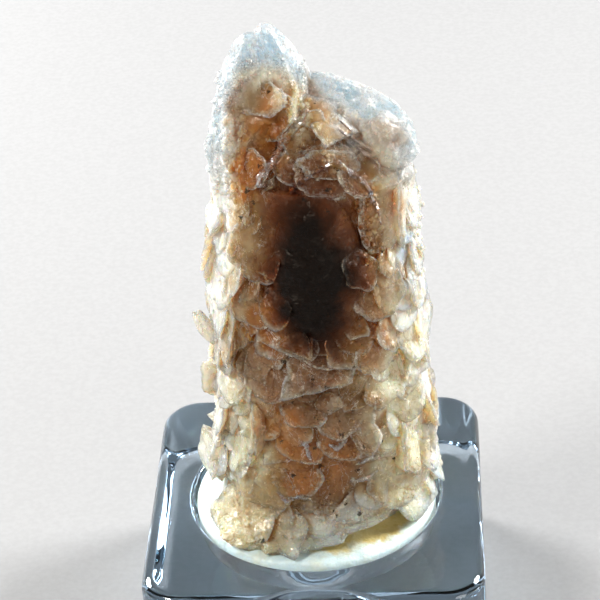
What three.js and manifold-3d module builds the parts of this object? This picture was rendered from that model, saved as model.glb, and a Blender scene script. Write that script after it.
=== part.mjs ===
// Quartz with calcite specimen on a clear glass block.
// A column of overlapping calcite scales, with a quartz point and a quartz wedge at its top, stands in mounting
// putty that fills the round well of a square pressed-glass block.
// Millimetres, +Z up. The origin is the centre of the block's underside; -Y is the front.
import * as THREE from "three";
import { mergeVertices } from "three/addons/utils/BufferGeometryUtils.js";
import Module from "manifold-3d";

const wasm = await Module();
wasm.setup();

// ---- Driving dimensions ----
const BLOCK = { side: 54, height: 25, corner: 6.5, edge: 2.2 };
const WELL = { radius: 20, depth: 10, draft: 0.5, lip: 0.9 };
const PUTTY = { gap: 0.3, taper: 0.9, rim: 0.2, rise: 2.3, segments: 40 };
const COLUMN = { x: 2.2, y: 0, height: 84.8 };
const FOOT = { halfWidth: 14.2, halfDepth: 12.4, sunk: 3, segments: 22 };
const CORE_SHARE = 0.9; // the core's radius as a share of the envelope's
const SCALE_CORNERS = 6;
const OVERHANG_SHARE = 0.62; // how much of a scale's standing height the envelope already includes

// The column's envelope: height above the block, half width in X and half depth in Y.
const ENVELOPE = [
  [0, 17.6, 14.8],
  [10, 17.8, 15.0],
  [20, 16.9, 14.6],
  [32, 16.2, 14.2],
  [44, 15.9, 14.0],
  [56, 15.0, 13.2],
  [66, 14.2, 12.2],
  [72, 12.0, 10.4],
  [78, 8.0, 7.4],
];

const RAD = Math.PI / 180;

// ---- Repeatable random numbers from 0 to 1 ----
function randomStream(seed) {
  let state = seed >>> 0;
  return () => {
    state = (state + 0x6d2b79f5) >>> 0;
    let t = Math.imul(state ^ (state >>> 15), 1 | state);
    t = (t + Math.imul(t ^ (t >>> 7), 61 | t)) ^ t;
    return ((t ^ (t >>> 14)) >>> 0) / 4294967296;
  };
}

// ---- Closed meshes from rings of points ----
// Rings run counter-clockwise seen from the end that the last ring faces, and flat fans close both ends.
function ringGeometry(rings) {
  const count = rings[0].length;
  const points = rings.flat().flatMap((p) => [p.x, p.y, p.z]);
  const faces = [];
  for (let r = 0; r + 1 < rings.length; r++) {
    for (let i = 0; i < count; i++) {
      const j = (i + 1) % count;
      const a = r * count + i;
      const b = r * count + j;
      faces.push(a, b, b + count, a, b + count, a + count);
    }
  }
  const last = (rings.length - 1) * count;
  for (let i = 1; i + 1 < count; i++) {
    faces.push(0, i + 1, i, last, last + i, last + i + 1);
  }
  const geometry = new THREE.BufferGeometry();
  geometry.setAttribute("position", new THREE.Float32BufferAttribute(points, 3));
  geometry.setIndex(faces);
  return geometry;
}

function solidOf(geometry) {
  const bare = new THREE.BufferGeometry();
  bare.setAttribute("position", geometry.getAttribute("position"));
  bare.setIndex(geometry.index);
  const merged = mergeVertices(bare, 1e-4);
  return new wasm.Manifold(
    new wasm.Mesh({
      numProp: 3,
      vertProperties: new Float32Array(merged.attributes.position.array),
      triVerts: new Uint32Array(merged.index.array),
    }),
  );
}

// The outer skin of a solid, with any sealed pocket between crystals filled in.
function outerSkin(solid) {
  const bodies = solid.decompose();
  bodies.sort((a, b) => b.volume() - a.volume());
  const mesh = bodies[0].getMesh();
  const positions = new Float32Array(mesh.numVert * 3);
  for (let i = 0; i < mesh.numVert; i++) {
    const start = i * mesh.numProp;
    positions.set(mesh.vertProperties.subarray(start, start + 3), i * 3);
  }
  const geometry = new THREE.BufferGeometry();
  geometry.setAttribute("position", new THREE.BufferAttribute(positions, 3));
  geometry.setIndex(new THREE.BufferAttribute(new Uint32Array(mesh.triVerts), 1));
  return geometry;
}

// ---- Glass block ----
function roundedSquare(side, corner) {
  const half = side / 2;
  const shape = new THREE.Shape();
  shape.moveTo(-half + corner, -half);
  shape.lineTo(half - corner, -half);
  shape.absarc(half - corner, -half + corner, corner, -Math.PI / 2, 0, false);
  shape.lineTo(half, half - corner);
  shape.absarc(half - corner, half - corner, corner, 0, Math.PI / 2, false);
  shape.lineTo(-half + corner, half);
  shape.absarc(-half + corner, half - corner, corner, Math.PI / 2, Math.PI, false);
  shape.lineTo(-half, -half + corner);
  shape.absarc(-half + corner, -half + corner, corner, Math.PI, 1.5 * Math.PI, false);
  return shape;
}

function blockGeometry() {
  const { side, height, corner, edge } = BLOCK;
  const body = new THREE.ExtrudeGeometry(roundedSquare(side - 2 * edge, corner - edge), {
    depth: height - 2 * edge,
    bevelThickness: edge,
    bevelSize: edge,
    bevelSegments: 3,
    curveSegments: 4,
  });
  body.translate(0, 0, edge);
  const { radius, depth, draft, lip } = WELL;
  const profile = [
    [0, -depth],
    [radius - draft, -depth],
    [radius, -lip],
    [radius + lip * 0.3, -lip * 0.3],
    [radius + lip, 0.1],
    [radius + lip, 2],
    [0, 2],
  ].map(([r, z]) => new THREE.Vector2(r, z));
  const well = new THREE.LatheGeometry(profile, 40);
  well.rotateX(Math.PI / 2);
  well.translate(0, 0, height);
  return outerSkin(solidOf(body).subtract(solidOf(well)));
}

// ---- Envelope of the column ----
function envelopeAt(height) {
  const rows = ENVELOPE;
  if (height <= rows[0][0]) return [rows[0][1], rows[0][2]];
  for (let i = 0; i + 1 < rows.length; i++) {
    const [low, high] = [rows[i], rows[i + 1]];
    if (height <= high[0]) {
      const t = (height - low[0]) / (high[0] - low[0]);
      return [low[1] + t * (high[1] - low[1]), low[2] + t * (high[2] - low[2])];
    }
  }
  return rows[rows.length - 1].slice(1);
}

// Azimuth 0 is the front, 90 degrees is the right side (+X).
function envelopePoint(azimuth, height, share = 1, out = 0) {
  const [halfWidth, halfDepth] = envelopeAt(height);
  const across = Math.sin(azimuth);
  const front = -Math.cos(azimuth);
  const reach = share / Math.hypot(across / halfWidth, front / halfDepth) + out;
  return new THREE.Vector3(across * reach, front * reach, height);
}

// ---- Crystals ----
// A calcite scale is a lens-shaped plate with a rounded polygonal outline. Its upper part is buried in the
// column and its lower edge stands free. x is across, y is up the plate, z is out of its face.
function scaleOutline(random, sides) {
  const turn = random() * 360;
  const walls = [];
  for (let i = 0; i < sides; i++) {
    const angle = (turn + (i + 0.3 * (random() - 0.5)) * (360 / sides)) * RAD;
    walls.push([angle, 0.88 + 0.24 * random()]);
  }
  const sharpness = 9;
  return (angle) => {
    let sum = 0;
    for (const [wall, distance] of walls) {
      const facing = Math.cos(angle - wall);
      if (facing > 0) sum += (facing / distance) ** sharpness;
    }
    return sum ** (-1 / sharpness);
  };
}

function scaleGeometry(scale) {
  const random = randomStream(scale.seed);
  const outline = scaleOutline(random, scale.sides);
  const ring = (share, z) => {
    const points = [];
    for (let i = 0; i < SCALE_CORNERS; i++) {
      const angle = (i / SCALE_CORNERS) * 2 * Math.PI;
      const reach = share * outline(angle);
      const across = (Math.cos(angle) * reach * scale.width) / 2;
      const up = (Math.sin(angle) * reach * scale.drop) / 2;
      points.push(new THREE.Vector3(across, up, z));
    }
    return points;
  };
  const half = scale.thick / 2;
  return ringGeometry([ring(0.5, -half), ring(1, 0.1 * half), ring(0.76, half)]);
}

// The place of a scale: its face looks out from the column and, by tilt, upwards; spin turns it in its own
// plane and yaw turns it about the vertical.
function scalePlace(scale) {
  const azimuth = scale.azimuth * RAD;
  const tilt = scale.tilt * RAD;
  const overhang = (Math.abs(Math.sin(tilt)) * scale.drop + scale.thick) / 2;
  const centre = envelopePoint(azimuth, scale.height, 1, scale.out - OVERHANG_SHARE * overhang);
  const facing = azimuth + scale.yaw * RAD;
  const spin = scale.spin * RAD;
  const normal = new THREE.Vector3(
    Math.sin(facing) * Math.cos(tilt),
    -Math.cos(facing) * Math.cos(tilt),
    Math.sin(tilt),
  );
  const across = new THREE.Vector3(Math.cos(facing), Math.sin(facing), 0);
  const up = normal.clone().cross(across);
  const turnedAcross = across
    .clone()
    .multiplyScalar(Math.cos(spin))
    .addScaledVector(up, Math.sin(spin));
  const turnedUp = normal.clone().cross(turnedAcross);
  return new THREE.Matrix4().makeBasis(turnedAcross, turnedUp, normal).setPosition(centre);
}

// Scales that stand out at the front and at the outline, lowest first.
// [azimuth, height, width, drop, tilt, spin, yaw, out, thick, sides]
const LEADING_SCALES = [
  [-46, 6.5, 11, 10, 24, 6, -6, 0.2, 4.0, 5],
  [-12, 6.0, 13, 9, 34, -4, 0, 0.6, 4.2, 6],
  [20, 7.5, 11, 8, 34, 8, 4, 0.2, 3.8, 6],
  [44, 8.5, 9, 8, 26, -8, 6, 0.2, 3.6, 5],
  [55, 14.5, 6.5, 8, 8, 12, 20, 0.8, 3.4, 4],
  [-54, 17.5, 7.5, 11, 12, -8, -10, 0.3, 3.0, 6],
  [-40, 21.0, 3.4, 10, 0, 4, -48, 0.6, 2.4, 5],
  [-8, 19.0, 6, 6.5, 30, 34, -4, 0.2, 2.6, 5],
  [13, 19.0, 7.5, 6, 38, -10, 4, 0.5, 2.6, 6],
  [-9, 25.6, 8.2, 6.5, 34, -6, -4, 0.5, 2.6, 6],
  [12, 24.4, 8.4, 8, 28, 14, 4, 0.5, 2.6, 6],
  [42, 27.5, 8.5, 7, 20, -10, 8, 0.2, 3.2, 5],
  [-34, 31.0, 10, 9.5, 18, -16, -6, 0.2, 3.2, 6],
  [1, 31.0, 10.5, 6.6, 30, -8, 2, 0.9, 2.4, 4],
  [3, 36.2, 9, 6, 34, -14, 4, 0.2, 2.4, 5],
  [40, 34.5, 9, 8, 18, 12, 6, 0.1, 3.2, 7],
  [54, 38.2, 9.5, 9, 14, 6, 10, 0.3, 3.2, 7],
  [42, 43.6, 9, 8, 22, -8, 2, 0.4, 2.8, 7],
  [36, 48.4, 8, 9, 16, 22, -2, 0.7, 2.6, 5],
  [-45, 44.4, 8.6, 9, 14, 4, -6, 0.4, 2.8, 8],
  [-34, 52.6, 8.6, 9.5, 10, -6, -4, 0.6, 2.8, 8],
  [54, 57.5, 6, 14, 2, 6, 22, 0.4, 3.0, 6],
  [66, 57.0, 6, 15, 0, -4, 16, 0.6, 3.0, 6],
  [-54, 57.5, 6, 7, 16, 10, -8, 0.1, 2.6, 6],
  [18, 65.2, 10, 8, 30, 6, 2, -0.5, 3.2, 6],
  [-12, 62.6, 7, 8, 20, -24, 0, -0.9, 3.0, 6],
  [44, 64.2, 9, 8, 30, -12, 4, 0, 3.2, 6],
  [24, 70.4, 8, 7, 46, 8, 0, -3.4, 2.4, 5],
  [-30, 64.0, 8, 8, 20, 18, 0, 0.2, 2.8, 6],
  [-36, 72.4, 7.6, 8, 20, -6, 4, -1.7, 2.2, 7],
  [-92, 35.4, 6, 7, -26, 38, -30, 1.6, 2.6, 4],
  [-88, 23.6, 6, 6, -14, 36, -30, 1.2, 2.6, 4],
  [-84, 12.6, 9, 8, 18, 8, -14, 0.5, 3.0, 5],
  [88, 17.6, 9, 8, 16, 10, 16, 0.4, 3.0, 6],
  [86, 30.0, 8, 8, 14, -8, 12, 0.4, 3.0, 6],
];

// The smooth face of the dark core, free of scales: centre and half sizes in degrees and millimetres.
const WINDOW = { azimuth: 4, height: 51, halfAngle: 33, halfHeight: 13.5 };

// The quartz at the top is bare above these heights.
const BARE = { front: 61, back: 66 };

function onQuartz(azimuth, height) {
  return height > (Math.abs(azimuth) < 120 ? BARE.front : BARE.back);
}

function insideWindow(azimuth, height) {
  const across = (azimuth - WINDOW.azimuth) / WINDOW.halfAngle;
  const up = (height - WINDOW.height) / WINDOW.halfHeight;
  return across * across + up * up < 1;
}

function leadingScales() {
  return LEADING_SCALES.map(([azimuth, height, width, drop, tilt, spin, yaw, out, thick, sides], index) => ({
    azimuth,
    height,
    width,
    drop,
    tilt,
    spin,
    yaw,
    out,
    thick,
    sides,
    seed: 101 + index,
  }));
}

// Rows of overlapping scales that cover the rest of the column.
const ROWS = { first: 4.8, step: 5.6, count: 11, perRow: 9 };

function nearLeading(scale, leading) {
  return leading.some((other) => {
    const turn = Math.abs(((scale.azimuth - other.azimuth + 540) % 360) - 180) * 0.27;
    return Math.hypot(turn, scale.height - other.height) < 4;
  });
}

function rowScales(leading) {
  const random = randomStream(7);
  const scales = [];
  for (let row = 0; row < ROWS.count; row++) {
    for (let place = 0; place < ROWS.perRow; place++) {
      const azimuth = ((place + 0.5 * (row % 2) + 0.34 * (random() - 0.5)) * 360) / ROWS.perRow - 180;
      const height = ROWS.first + row * ROWS.step + 2.2 * (random() - 0.5);
      const scale = {
        azimuth,
        height,
        width: 8.6 + 3.4 * random(),
        drop: 7.6 + 3.6 * random(),
        tilt: 8 + 24 * random(),
        spin: 50 * (random() - 0.5),
        yaw: 26 * (random() - 0.5),
        out: -0.6 + 1.3 * random(),
        thick: 2.6 + 1.2 * random(),
        sides: 5 + Math.floor(3 * random()),
        seed: 1001 + row * 32 + place,
      };
      const free = !insideWindow(azimuth, height) && !onQuartz(azimuth, height);
      if (free && !nearLeading(scale, leading)) scales.push(scale);
    }
  }
  return scales;
}

// ---- Core ----
function coreGeometry() {
  const random = randomStream(31);
  const rings = [];
  const segments = FOOT.segments;
  const ellipse = (halfWidth, halfDepth, height, wobble = 0) => {
    const points = [];
    for (let i = 0; i < segments; i++) {
      const angle = (i / segments) * 2 * Math.PI;
      const swell = 1 + wobble * (random() - 0.5);
      const [x, y] = [halfWidth * Math.cos(angle), halfDepth * Math.sin(angle)];
      points.push(new THREE.Vector3(x * swell, y * swell, height));
    }
    return points;
  };
  rings.push(ellipse(FOOT.halfWidth, FOOT.halfDepth, -FOOT.sunk));
  rings.push(ellipse(FOOT.halfWidth, FOOT.halfDepth, PUTTY.rise + 0.6));
  for (const height of [5, 14, 23, 32, 41, 50, 58, 63]) {
    const [halfWidth, halfDepth] = envelopeAt(height);
    rings.push(ellipse(halfWidth * CORE_SHARE, halfDepth * CORE_SHARE, height, 0.05));
  }
  return ringGeometry(rings);
}

// The window is a smooth swelling of the core between the scales.
function windowGeometry() {
  const rings = [];
  for (const [share, out] of [[1, -4.5], [0.98, -2.0], [0.86, -0.9], [0.62, -0.2], [0.3, 0.15]]) {
    const points = [];
    for (let i = 0; i < 16; i++) {
      const angle = (i / 16) * 2 * Math.PI;
      const azimuth = WINDOW.azimuth + WINDOW.halfAngle * share * Math.cos(angle);
      const height = WINDOW.height + WINDOW.halfHeight * share * Math.sin(angle);
      points.push(envelopePoint(azimuth * RAD, height, 1, out));
    }
    rings.push(points);
  }
  return ringGeometry(rings);
}

// ---- Quartz at the top ----
// A crystal given by its cross sections: [height, centre x, centre y, half width, half depth, turn].
function crystalGeometry(sections, sides) {
  const rings = sections.map(([height, x, y, halfWidth, halfDepth, turn]) => {
    const points = [];
    for (let i = 0; i < sides; i++) {
      const angle = (i / sides) * 2 * Math.PI + turn * RAD;
      points.push(new THREE.Vector3(x + halfWidth * Math.cos(angle), y + halfDepth * Math.sin(angle), height));
    }
    return points;
  });
  return ringGeometry(rings);
}

// The point leans to the left and ends in a cleft tip; heights are above the block, x from the column's axis.
const POINT_SECTIONS = [
  [50, -6.2, -1.6, 7.6, 9.8, 8],
  [66, -6.3, -1.6, 8.9, 9.0, 8],
  [76.4, -5.6, -0.8, 6.6, 5.8, 8],
  [82.8, -5.0, -0.5, 2.9, 2.9, 8],
  [84.8, -4.6, -0.4, 1.0, 1.2, 8],
];
const SIDE_POINT_SECTIONS = [
  [68, -8.8, -1.6, 5.6, 6.4, -14],
  [77.5, -8.2, -1.0, 3.9, 4.2, -14],
  [82.6, -7.4, -0.6, 0.9, 1.2, -14],
];

// The wedge is a roof-shaped crystal whose ridge slopes down to the right: ridge points and half depth.
const WEDGE = {
  ridge: [
    [-2.5, 0.4, 76.8, 11.4],
    [3.8, 0.6, 75.8, 12.2],
    [9.8, 0.4, 73.2, 10.4],
    [13.8, 0.2, 70.2, 7.4],
    [16.0, 0.0, 66.6, 4.2],
  ],
  blunt: 0.7,
  bottom: 55,
  lean: 0.76,
};

function wedgeGeometry() {
  const { ridge, blunt, bottom, lean } = WEDGE;
  const rings = ridge.map(([x, y, z, depth]) => {
    const flank = [
      [blunt, 0, 1],
      [depth, -depth * 1.1, 1],
      [depth * 0.9, bottom - z, lean],
    ];
    return [
      ...flank.map(([out, drop, share]) => new THREE.Vector3(x * share, y - out, z + drop)),
      ...flank.reverse().map(([out, drop, share]) => new THREE.Vector3(x * share, y + out, z + drop)),
    ];
  });
  return ringGeometry(rings);
}

function specimenGeometry() {
  const leading = leadingScales();
  const scales = [...leading, ...rowScales(leading)];
  let solid = solidOf(coreGeometry());
  solid = solid.add(solidOf(windowGeometry()));
  solid = solid.add(solidOf(crystalGeometry(POINT_SECTIONS, 6)));
  solid = solid.add(solidOf(crystalGeometry(SIDE_POINT_SECTIONS, 6)));
  solid = solid.add(solidOf(wedgeGeometry()));
  for (const scale of scales) {
    const geometry = scaleGeometry(scale).applyMatrix4(scalePlace(scale));
    solid = solid.add(solidOf(geometry));
  }
  const clearance = puttyGeometry(PUTTY.gap, BLOCK.side);
  clearance.translate(-COLUMN.x, -COLUMN.y, 0);
  solid = solid.subtract(solidOf(clearance));
  return outerSkin(solid);
}

// ---- Putty ----
// The putty's skin, in heights above the block. Growing it by a gap gives the space that the specimen and its
// scales keep clear of.
function puttyGeometry(grow = 0, reach = WELL.radius - PUTTY.gap) {
  const { gap, taper, rim, rise, segments } = PUTTY;
  const random = randomStream(57);
  const wobble = Array.from({ length: segments }, () => random() - 0.5);
  const ring = (halfWidth, halfDepth, centre, z, unevenness, stride) =>
    wobble.map((_, i) => {
      const angle = (i / segments) * 2 * Math.PI;
      const bump = unevenness * wobble[(i * stride) % segments];
      return new THREE.Vector3(
        centre.x + halfWidth * Math.cos(angle),
        centre.y + halfDepth * Math.sin(angle),
        z + bump + grow,
      );
    });
  const circle = (radius, z, unevenness = 0) => ring(radius, radius, { x: 0, y: 0 }, z, unevenness, 1);
  const pocket = (z, unevenness = 0) =>
    ring(FOOT.halfWidth + gap - grow * 0.8, FOOT.halfDepth + gap - grow * 0.8, COLUMN, z, unevenness, 7);
  return ringGeometry([
    circle(reach - WELL.draft - taper, -WELL.depth + gap),
    circle(reach - WELL.draft * 0.2, -WELL.lip),
    circle(reach - 0.5, rim, 0.3),
    circle(WELL.radius - gap - 2.2, rim + 0.8, 0.7),
    pocket(rise, 0.5),
    pocket(-FOOT.sunk - gap),
  ]);
}

// ---- Assembly ----
function mesh(name, geometry, look) {
  const made = new THREE.Mesh(geometry, new THREE.MeshStandardMaterial(look));
  made.name = name;
  return made;
}

const specimen = mesh("specimen", specimenGeometry(), { color: 0xc99a6b, roughness: 0.35, metalness: 0 });
specimen.position.set(COLUMN.x, COLUMN.y, BLOCK.height);

const part = new THREE.Group();
part.add(mesh("glass_block", blockGeometry(), { color: 0xdde8ee, roughness: 0.05, metalness: 0 }));
const putty = mesh("putty", puttyGeometry(), { color: 0xe8dfbf, roughness: 0.7, metalness: 0 });
putty.position.z = BLOCK.height;
part.add(putty);
part.add(specimen);

export default part;
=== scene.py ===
"""Quartz with calcite specimen on a clear glass block: the looks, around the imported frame."""
from math import atan2, ceil, cos, hypot, pi, sin

import bmesh
import bpy
import numpy as np
from mathutils import Matrix, Vector, noise
from mathutils.bvhtree import BVHTree
from mathutils.kdtree import KDTree


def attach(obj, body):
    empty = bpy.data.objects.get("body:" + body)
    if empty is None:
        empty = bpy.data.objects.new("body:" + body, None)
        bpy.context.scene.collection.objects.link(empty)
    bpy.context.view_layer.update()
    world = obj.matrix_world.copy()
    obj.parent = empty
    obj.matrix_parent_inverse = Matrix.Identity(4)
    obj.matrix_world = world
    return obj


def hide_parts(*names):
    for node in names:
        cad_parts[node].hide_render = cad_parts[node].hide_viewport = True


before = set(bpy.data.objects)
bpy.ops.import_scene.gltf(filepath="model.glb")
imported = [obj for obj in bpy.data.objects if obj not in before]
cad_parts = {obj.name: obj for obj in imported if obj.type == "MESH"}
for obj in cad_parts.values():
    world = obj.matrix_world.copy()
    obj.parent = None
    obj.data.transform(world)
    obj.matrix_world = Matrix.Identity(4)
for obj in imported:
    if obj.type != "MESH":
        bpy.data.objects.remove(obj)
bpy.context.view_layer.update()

MM = 0.001
RAD = pi / 180


# ---- Driving dimensions, in millimetres: the part's source has the same, but for CORE_SHARE and bend ----
BLOCK = {"side": 54, "height": 25, "corner": 6.5, "edge": 2.2}
WELL = {"radius": 20, "depth": 10, "draft": 0.5, "lip": 0.9, "bend": 1.2}
COLUMN_X = 2.2
FOOT = {"half_width": 14.2, "half_depth": 12.4, "sunk": 3}
CORE_SHARE = 0.95
OVERHANG_SHARE = 0.62
# Height above the block, half width in X and half depth in Y.
ENVELOPE = [
    (0, 17.6, 14.8),
    (10, 17.8, 15.0),
    (20, 16.9, 14.6),
    (32, 16.2, 14.2),
    (44, 15.9, 14.0),
    (56, 15.0, 13.2),
    (66, 14.2, 12.2),
    (72, 12.0, 10.4),
    (78, 8.0, 7.4),
]
TOP = BLOCK["height"]


# ---- Repeatable random numbers from 0 to 1, the same stream as in the part's source ----
def random_stream(seed):
    state = seed & 0xFFFFFFFF

    def draw():
        nonlocal state
        state = (state + 0x6D2B79F5) & 0xFFFFFFFF
        t = ((state ^ (state >> 15)) * (1 | state)) & 0xFFFFFFFF
        t = ((t + (((t ^ (t >> 7)) * (61 | t)) & 0xFFFFFFFF)) & 0xFFFFFFFF) ^ t
        return ((t ^ (t >> 14)) & 0xFFFFFFFF) / 4294967296

    return draw


# ---- Directions, and places on the column's envelope ----
def around(count):
    """Angles of equal steps round a full turn."""
    return [i / count * 2 * pi for i in range(count)]


def direction(azimuth, rise):
    """Azimuth 0 is the front (-Y), a quarter turn is the right side (+X)."""
    level = cos(rise)
    return Vector((sin(azimuth) * level, -cos(azimuth) * level, sin(rise)))


def turned(side, other, angle):
    """The way at an angle from one direction towards another."""
    return side * cos(angle) + other * sin(angle)


def envelope_at(height):
    heights, *halves = zip(*ENVELOPE)
    return [float(np.interp(height, heights, row)) for row in halves]


def envelope_point(azimuth, height, out):
    half_width, half_depth = envelope_at(height)
    across, front = sin(azimuth), -cos(azimuth)
    reach = 1 / hypot(across / half_width, front / half_depth) + out
    return Vector((across * reach, front * reach, height))


# ---- Meshes ----
def ring_mesh(rings, top_point=None):
    """Points and faces of a closed mesh of rings of equal count, with flat ends or a pointed last end."""
    count = len(rings[0])
    points = [tuple(p) for ring in rings for p in ring]
    faces = [tuple(reversed(range(count)))]
    for start in range(0, len(points) - count, count):
        for i in range(count):
            a, b = start + i, start + (i + 1) % count
            faces.append((a, b, b + count, a + count))
    last = len(points) - count
    if top_point is None:
        faces.append(tuple(range(last, last + count)))
    else:
        faces += [(last + i, last + (i + 1) % count, len(points)) for i in range(count)]
        points.append(tuple(top_point))
    return points, faces


def placed(name, data):
    made = bpy.data.objects.new(name, data)
    bpy.context.scene.collection.objects.link(made)
    return made


def new_object(name, points, faces, scale=MM):
    mesh = bpy.data.meshes.new(name)
    mesh.from_pydata([Vector(p) * scale for p in points], [], faces)
    mesh.update()
    return placed(name, mesh)


def rings_of(rows, count, point):
    """A ring for each row, of the points that point(row, angle) gives all round."""
    return [[point(row, angle) for angle in around(count)] for row in rows]


def mean_of(points):
    return sum(points, Vector()) / len(points)


# ---- Calcite scales ----
# [azimuth, height, width, drop, tilt, spin, yaw, out, thick, sides]
LEADING_SCALES = [
    (-46, 6.5, 11, 10, 24, 6, -6, 0.2, 4.0, 5),
    (-12, 6.0, 13, 9, 34, -4, 0, 0.6, 4.2, 6),
    (20, 7.5, 11, 8, 34, 8, 4, 0.2, 3.8, 6),
    (44, 8.5, 9, 8, 26, -8, 6, 0.2, 3.6, 5),
    (55, 14.5, 6.5, 8, 8, 12, 20, 0.8, 3.4, 4),
    (-54, 17.5, 7.5, 11, 12, -8, -10, 0.3, 3.0, 6),
    (-40, 21.0, 3.4, 10, 0, 4, -48, 0.6, 2.4, 5),
    (-8, 19.0, 6, 6.5, 30, 34, -4, 0.2, 2.6, 5),
    (13, 19.0, 7.5, 6, 38, -10, 4, 0.5, 2.6, 6),
    (-9, 25.6, 8.2, 6.5, 34, -6, -4, 0.5, 2.6, 6),
    (12, 24.4, 8.4, 8, 28, 14, 4, 0.5, 2.6, 6),
    (42, 27.5, 8.5, 7, 20, -10, 8, 0.2, 3.2, 5),
    (-34, 31.0, 10, 9.5, 18, -16, -6, 0.2, 3.2, 6),
    (3, 33.4, 11.5, 7.0, 26, 16, 2, 1.0, 2.2, 4),
    (3, 36.2, 9, 6, 34, -14, 4, 0.2, 2.4, 5),
    (40, 34.5, 9, 8, 18, 12, 6, 0.1, 3.2, 7),
    (54, 38.2, 9.5, 9, 14, 6, 10, 0.3, 3.2, 7),
    (44, 45.0, 11, 10, 18, -8, -16, 0.4, 2.8, 7),
    (31, 49.8, 5.6, 7, 14, 22, -2, 0.9, 2.0, 5),
    (-42, 44.4, 11, 10, 14, 4, 20, 0.2, 2.8, 8),
    (-36, 53.2, 11, 11.5, 8, -6, 22, 0.3, 2.8, 8),
    (50, 57.5, 9, 13, 4, 6, -12, 0.1, 2.4, 7),
    (66, 57.0, 6, 15, 0, -4, 16, 0.6, 3.0, 6),
    (-54, 57.5, 6, 7, 16, 10, -8, 0.1, 2.6, 6),
    (18, 65.2, 10, 8, 30, 6, 2, -0.5, 3.2, 6),
    (-12, 62.6, 7, 8, 20, -24, 0, -0.9, 3.0, 6),
    (44, 64.2, 9, 8, 30, -12, 4, 0, 3.2, 6),
    (24, 70.4, 8, 7, 46, 8, 0, -3.4, 2.4, 5),
    (-40, 66.2, 6.4, 6.4, 16, 4, 0, 0.3, 2.4, 8),
    (-36, 73.0, 7.0, 8, 20, -6, 4, -1.9, 2.2, 7),
    (-92, 35.4, 6, 7, -26, 38, -30, 0.6, 2.6, 4),
    (-88, 23.6, 6, 6, -14, 36, -30, 1.7, 2.6, 5),
    (-84, 12.6, 9, 8, 18, 8, -14, 0.5, 3.0, 5),
    (88, 17.6, 9, 8, 16, 10, 16, 0.4, 3.0, 6),
    (86, 30.0, 8, 8, 14, -8, 12, 0.4, 3.0, 6),
]
# Smaller forms on and between the large ones, which the part's solids leave out.
EXTRA_SCALES = [
    (-46, 75.8, 9.5, 6.6, 34, -4, 20, 1.1, 1.4, 8),
    (0, 70.4, 8.5, 6.5, 34, 24, 0, -2.2, 2.2, 6),
    (-7, 66.2, 8.0, 5.6, 30, -12, 0, -1.0, 2.0, 6),
    (-88, 33.0, 3.0, 7.0, 10, 35, 68, 2.3, 1.9, 6),
    (-86, 9.5, 8, 9, 8, 12, 30, 1.8, 3.2, 5),
    (-52, 3.4, 14, 9, 36, 8, 6, 3.2, 4.0, 5),
    (-31, 4.0, 13, 8, 36, -14, 0, 2.6, 4.0, 5),
    (-36, 5.0, 12, 8, 26, 4, 0, 1.6, 3.0, 6),
    (-12, 3.6, 13, 7, 34, -4, 0, 1.2, 3.0, 6),
    (22, 5.4, 12, 7, 30, 6, 0, 0.4, 2.8, 6),
    (-17, 12.6, 9, 6.4, 28, 6, 0, 0.7, 1.8, 6),
    (20, 72.4, 6.5, 4.6, 54, 14, 0, -3.4, 1.8, 4),
    (32, 70.6, 6.0, 4.6, 50, -10, 6, -2.0, 1.8, 4),
    (18, 66.8, 9.0, 5.0, 30, -14, 2, -0.4, 1.6, 6),
]
# Rounded swellings, in the column's own axes: centre, half sizes, lean to the right in degrees, roughness.
LUMPS = [
    ((11.9, -3.0, 66.9), (4.2, 5.2, 4.5), -30, 0.16),
    ((-6.3, -1.0, 82.0), (2.5, 2.4, 1.7), 0, 0.20),
    ((-16.0, -7.0, 1.4), (2.9, 3.6, 2.0), 0, 0.25),
    ((-12.4, -12.2, 1.4), (4.3, 3.7, 2.0), 0, 0.25),
    ((-6.6, -14.4, 1.4), (5.4, 2.7, 2.0), 0, 0.25),
    ((16.0, 3.2, 2.6), (2.4, 3.8, 2.4), 0, 0.22),
]
# A pocket cut into the point's front, given in the same way.
POCKET = ((-4.6, -9.6, 70.8), (3.7, 2.8, 6.3), 24, 0.14)
FIELDS = ("azimuth", "height", "width", "drop", "tilt", "spin", "yaw", "out", "thick", "sides")
# The smooth face that carries the painted dark shade, the heights above which the quartz is bare, and the
# rows of plates.
WINDOW = {"azimuth": 4, "height": 51, "half_angle": 33, "half_height": 13.5}
BARE = {"front": 61, "back": 66}
ROWS = {"first": 4.8, "step": 5.6, "count": 11, "per_row": 9}
ARC_PER_DEGREE = 0.27


def window_share(azimuth, height):
    """0 at the centre of the dark face, 1 at its edge; azimuth in degrees."""
    across = (azimuth - WINDOW["azimuth"]) / WINDOW["half_angle"]
    up = (height - WINDOW["height"]) / WINDOW["half_height"]
    return np.hypot(across, up)


def on_quartz(azimuth, height):
    return height > (BARE["front"] if abs(azimuth) < 120 else BARE["back"])


def on_calcite(azimuth, height, clear=1.0):
    return window_share(azimuth, height) >= clear and not on_quartz(azimuth, height)


def near(scale, others, gap):
    for other in others:
        turn = abs((scale["azimuth"] - other["azimuth"] + 540) % 360 - 180)
        if hypot(turn * ARC_PER_DEGREE, scale["height"] - other["height"]) < gap:
            return True
    return False


def listed_scales(rows, first_seed):
    return [dict(zip(FIELDS, row), seed=first_seed + index, size="lead") for index, row in enumerate(rows)]


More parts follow.
